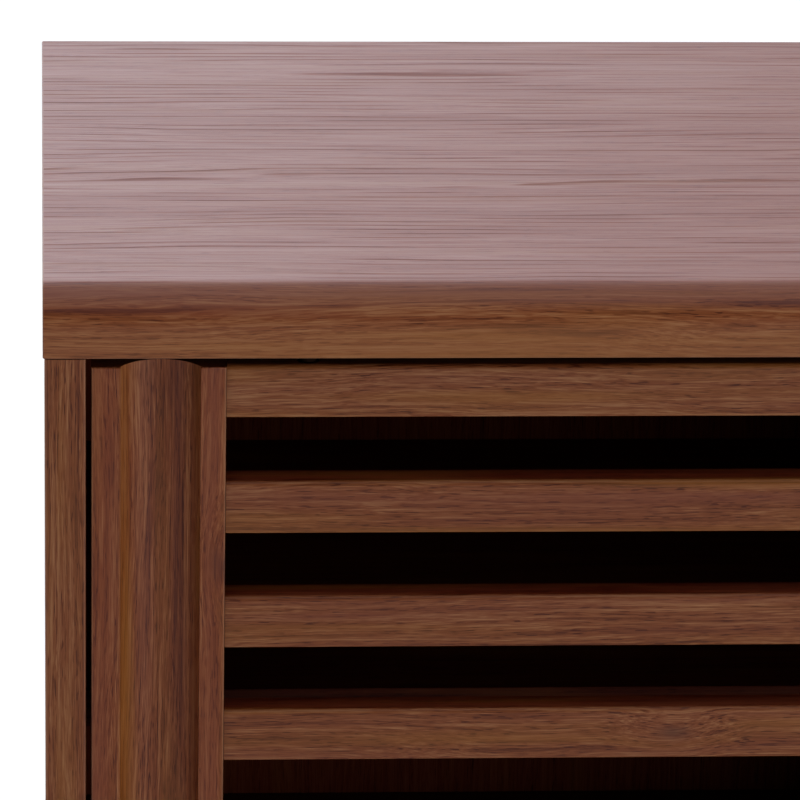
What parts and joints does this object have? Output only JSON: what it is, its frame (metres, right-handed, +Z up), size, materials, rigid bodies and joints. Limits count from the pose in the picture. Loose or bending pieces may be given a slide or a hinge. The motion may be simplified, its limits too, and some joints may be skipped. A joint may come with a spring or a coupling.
{
  "type": "shoe cabinet",
  "caption": "Walnut shoe cabinet with by-pass sliding slatted doors, hollowed finger pulls, a round-nosed top, shelves behind and splayed legs.",
  "frame": {"origin": "on the floor, under the middle of the top panel", "axes": "+X to the right of a person facing the doors, +Y from the doors to the back, +Z up"},
  "size_m": [0.9, 0.345, 0.68],
  "materials": {
    "walnut": "satin walnut laminate with fine streaked grain",
    "walnut_inside": "matt walnut laminate",
    "track_plastic": "dark brown extruded plastic",
    "dark_nylon": "moulded dark nylon",
    "roller_nylon": "off-white nylon"
  },
  "bodies": {
    "cabinet": {"top_panel": "walnut", "side_panel_left": "walnut", "side_panel_right": "walnut", "bottom_panel": "walnut", "back_panel": "walnut_inside", "centre_divider": "walnut_inside", "shelf_left_lower": "walnut_inside", "shelf_left_upper": "walnut_inside", "shelf_right_lower": "walnut_inside", "shelf_right_upper": "walnut_inside", "upper_track": "track_plastic", "lower_track": "track_plastic", "leg_cleat_left": "walnut", "leg_cleat_right": "walnut", "leg_front_left": "walnut", "leg_front_right": "walnut", "leg_rear_left": "walnut", "leg_rear_right": "walnut", "foot_glide_front_left": "dark_nylon", "foot_glide_front_right": "dark_nylon", "foot_glide_rear_left": "dark_nylon", "foot_glide_rear_right": "dark_nylon"},
    "door_left": {"door_left_stile_outer": "walnut", "door_left_stile_inner": "walnut", "door_left_top_rail": "walnut", "door_left_bottom_rail": "walnut", "door_left_slat_01": "walnut", "door_left_slat_02": "walnut", "door_left_slat_03": "walnut", "door_left_slat_04": "walnut", "door_left_slat_05": "walnut", "door_left_slat_06": "walnut", "door_left_slat_07": "walnut", "door_left_slat_08": "walnut", "door_left_slat_09": "walnut", "door_left_top_guide_outer": "dark_nylon", "door_left_top_guide_inner": "dark_nylon", "door_left_roller_housing_outer": "dark_nylon", "door_left_roller_housing_inner": "dark_nylon"},
    "door_right": {"door_right_stile_outer": "walnut", "door_right_stile_inner": "walnut", "door_right_top_rail": "walnut", "door_right_bottom_rail": "walnut", "door_right_slat_01": "walnut", "door_right_slat_02": "walnut", "door_right_slat_03": "walnut", "door_right_slat_04": "walnut", "door_right_slat_05": "walnut", "door_right_slat_06": "walnut", "door_right_slat_07": "walnut", "door_right_slat_08": "walnut", "door_right_slat_09": "walnut", "door_right_top_guide_outer": "dark_nylon", "door_right_top_guide_inner": "dark_nylon", "door_right_roller_housing_outer": "dark_nylon", "door_right_roller_housing_inner": "dark_nylon"},
    "roller_left_outer": {"door_left_roller_outer": "roller_nylon"},
    "roller_left_inner": {"door_left_roller_inner": "roller_nylon"},
    "roller_right_outer": {"door_right_roller_outer": "roller_nylon"},
    "roller_right_inner": {"door_right_roller_inner": "roller_nylon"}
  },
  "joints": [
    {"name": "door_left_slide", "type": "slide", "parent": "cabinet", "child": "door_left", "axis": [1, 0, 0], "range_m": [0, 0.4079]},
    {"name": "door_right_slide", "type": "slide", "parent": "cabinet", "child": "door_right", "axis": [-1, 0, 0], "range_m": [0, 0.4079]},
    {"name": "roller_left_outer_spin", "type": "hinge", "parent": "door_left", "child": "roller_left_outer", "pos_m": [-0.3534, -0.1615, 0.1825], "axis": [0, 1, 0], "continuous": true},
    {"name": "roller_left_inner_spin", "type": "hinge", "parent": "door_left", "child": "roller_left_inner", "pos_m": [-0.0545, -0.1615, 0.1825], "axis": [0, 1, 0], "continuous": true},
    {"name": "roller_right_outer_spin", "type": "hinge", "parent": "door_right", "child": "roller_right_outer", "pos_m": [0.3534, -0.1395, 0.1825], "axis": [0, -1, 0], "continuous": true},
    {"name": "roller_right_inner_spin", "type": "hinge", "parent": "door_right", "child": "roller_right_inner", "pos_m": [0.0545, -0.1395, 0.1825], "axis": [0, -1, 0], "continuous": true}
  ],
  "couplings": [
    {"joint": "roller_left_outer_spin", "follows": "door_left_slide", "rad_per_m": 142.86},
    {"joint": "roller_left_inner_spin", "follows": "door_left_slide", "rad_per_m": 142.86},
    {"joint": "roller_right_outer_spin", "follows": "door_right_slide", "rad_per_m": 142.86},
    {"joint": "roller_right_inner_spin", "follows": "door_right_slide", "rad_per_m": 142.86}
  ]
}
